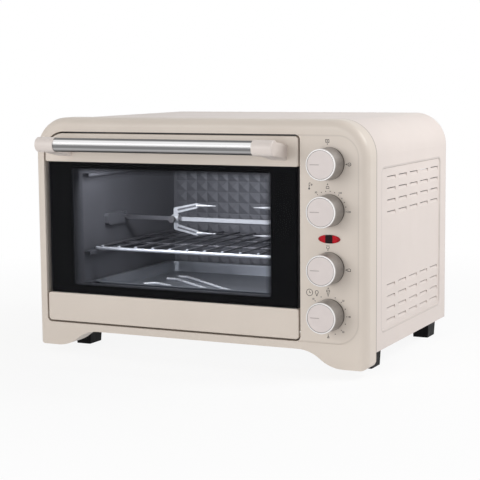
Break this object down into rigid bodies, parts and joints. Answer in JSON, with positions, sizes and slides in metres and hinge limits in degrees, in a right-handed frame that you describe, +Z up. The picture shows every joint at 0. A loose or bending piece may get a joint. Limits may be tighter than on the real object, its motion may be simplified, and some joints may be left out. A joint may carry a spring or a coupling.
{
  "type": "electric oven",
  "caption": "Countertop electric oven in cream with a drop-down glass door, bar handle, turning dials, a spit, a sliding rack and tray, louvred sides and rubber feet.",
  "frame": {"origin": "on the table, under the middle of the whole outline (handle to back screws, left to right)", "axes": "+X to the right seen from the front, +Y to the back, +Z up; the door faces -Y"},
  "size_m": [0.53, 0.4277, 0.3535],
  "materials": {
    "cream_enamel": "satin enamel",
    "cream_plastic": "satin",
    "rear_steel": "galvanised",
    "cavity_steel": "satin",
    "black_glass": "polished",
    "lamp_glass": "frosted",
    "red_lens": "polished",
    "black_rubber": "matte",
    "screw_steel": "zinc",
    "heater_sheath": "heat darkened",
    "ceramic": "matte",
    "motor_metal": "zinc",
    "switch_plastic": "matte",
    "brushed_handle": "brushed",
    "chrome_wire": "bright",
    "black_tray": "enamel",
    "fan_aluminium": "satin",
    "dial_metal": "brushed",
    "dial_cap": "satin",
    "shaft_metal": "turned"
  },
  "bodies": {
    "housing": {"front_frame": "cream_plastic", "indicator_lens": "red_lens", "hinge_blocks": "cavity_steel", "top_cover": "cream_enamel", "side_panels": "cream_enamel", "rear_panel": "rear_steel", "base_plate": "rear_steel", "feet": "black_rubber", "cord_gland": "black_rubber", "body_screws": "screw_steel", "cavity_front_flange": "cavity_steel", "cavity_left_wall": "cavity_steel", "cavity_right_wall": "cavity_steel", "cavity_back_wall": "cavity_steel", "cavity_roof": "cavity_steel", "cavity_floor": "cavity_steel", "crumb_tray": "cavity_steel", "upper_heaters": "heater_sheath", "lower_heaters": "heater_sheath", "heater_insulators": "ceramic", "spit_rest": "cavity_steel", "spit_motor": "motor_metal", "fan_guard": "cavity_steel", "fan_cup": "cavity_steel", "fan_motor": "motor_metal", "lamp_cover": "lamp_glass", "lamp_holder": "ceramic", "control_plate": "cavity_steel", "rotary_switches": "switch_plastic", "thermostat": "switch_plastic", "timer_case": "switch_plastic"},
    "door": {"door_top_bar": "cream_plastic", "door_bottom_bar": "cream_plastic", "door_glass": "black_glass", "door_inner_frame": "cavity_steel", "door_pivots": "screw_steel", "door_screws": "screw_steel", "handle_tube": "brushed_handle", "handle_arms": "cream_plastic"},
    "rack": {"wire_rack": "chrome_wire"},
    "tray": {"baking_tray": "black_tray", "tray_grip": "chrome_wire", "spit_lifter": "chrome_wire"},
    "spit": {"spit_rod": "chrome_wire", "spit_forks": "chrome_wire", "fork_screws": "screw_steel", "spit_socket": "chrome_wire"},
    "fan": {"fan_wheel": "fan_aluminium"},
    "function_dial": {"function_dial": "dial_metal", "function_dial_cap": "dial_cap", "function_shaft": "shaft_metal"},
    "temperature_dial": {"temperature_dial": "dial_metal", "temperature_dial_cap": "dial_cap", "temperature_shaft": "shaft_metal"},
    "heat_dial": {"heat_dial": "dial_metal", "heat_dial_cap": "dial_cap", "heat_shaft": "shaft_metal"},
    "timer_dial": {"timer_dial": "dial_metal", "timer_dial_cap": "dial_cap", "timer_shaft": "shaft_metal"}
  },
  "joints": [
    {"name": "door_hinge", "type": "hinge", "parent": "housing", "child": "door", "pos_m": [0, -0.15015, 0.059], "axis": [1, 0, 0], "range_deg": [0, 88]},
    {"name": "function_dial_turn", "type": "hinge", "parent": "housing", "child": "function_dial", "pos_m": [0.2096, -0.15615, 0.2943], "axis": [0, 1, 0], "range_deg": [0, 270]},
    {"name": "temperature_dial_turn", "type": "hinge", "parent": "housing", "child": "temperature_dial", "pos_m": [0.2096, -0.15615, 0.23051], "axis": [0, 1, 0], "range_deg": [0, 180]},
    {"name": "heat_dial_turn", "type": "hinge", "parent": "housing", "child": "heat_dial", "pos_m": [0.2096, -0.15615, 0.15141], "axis": [0, 1, 0], "range_deg": [0, 270]},
    {"name": "timer_dial_turn", "type": "hinge", "parent": "housing", "child": "timer_dial", "pos_m": [0.2096, -0.15615, 0.08689], "axis": [0, 1, 0], "range_deg": [0, 270]},
    {"name": "spit_spin", "type": "hinge", "parent": "housing", "child": "spit", "pos_m": [0, 0.00285, 0.192], "axis": [1, 0, 0], "continuous": true},
    {"name": "fan_spin", "type": "hinge", "parent": "housing", "child": "fan", "pos_m": [0.16, 0.10985, 0.2087], "axis": [1, 0, 0], "continuous": true},
    {"name": "rack_slide", "type": "slide", "parent": "housing", "child": "rack", "axis": [0, -1, 0], "range_m": [0, 0.1536]},
    {"name": "tray_slide", "type": "slide", "parent": "housing", "child": "tray", "axis": [0, -1, 0], "range_m": [0, 0.0768]}
  ],
  "couplings": [
    {"joint": "rack_slide", "follows": "door_hinge", "m_per_rad": 0.1},
    {"joint": "tray_slide", "follows": "door_hinge", "m_per_rad": 0.05}
  ]
}
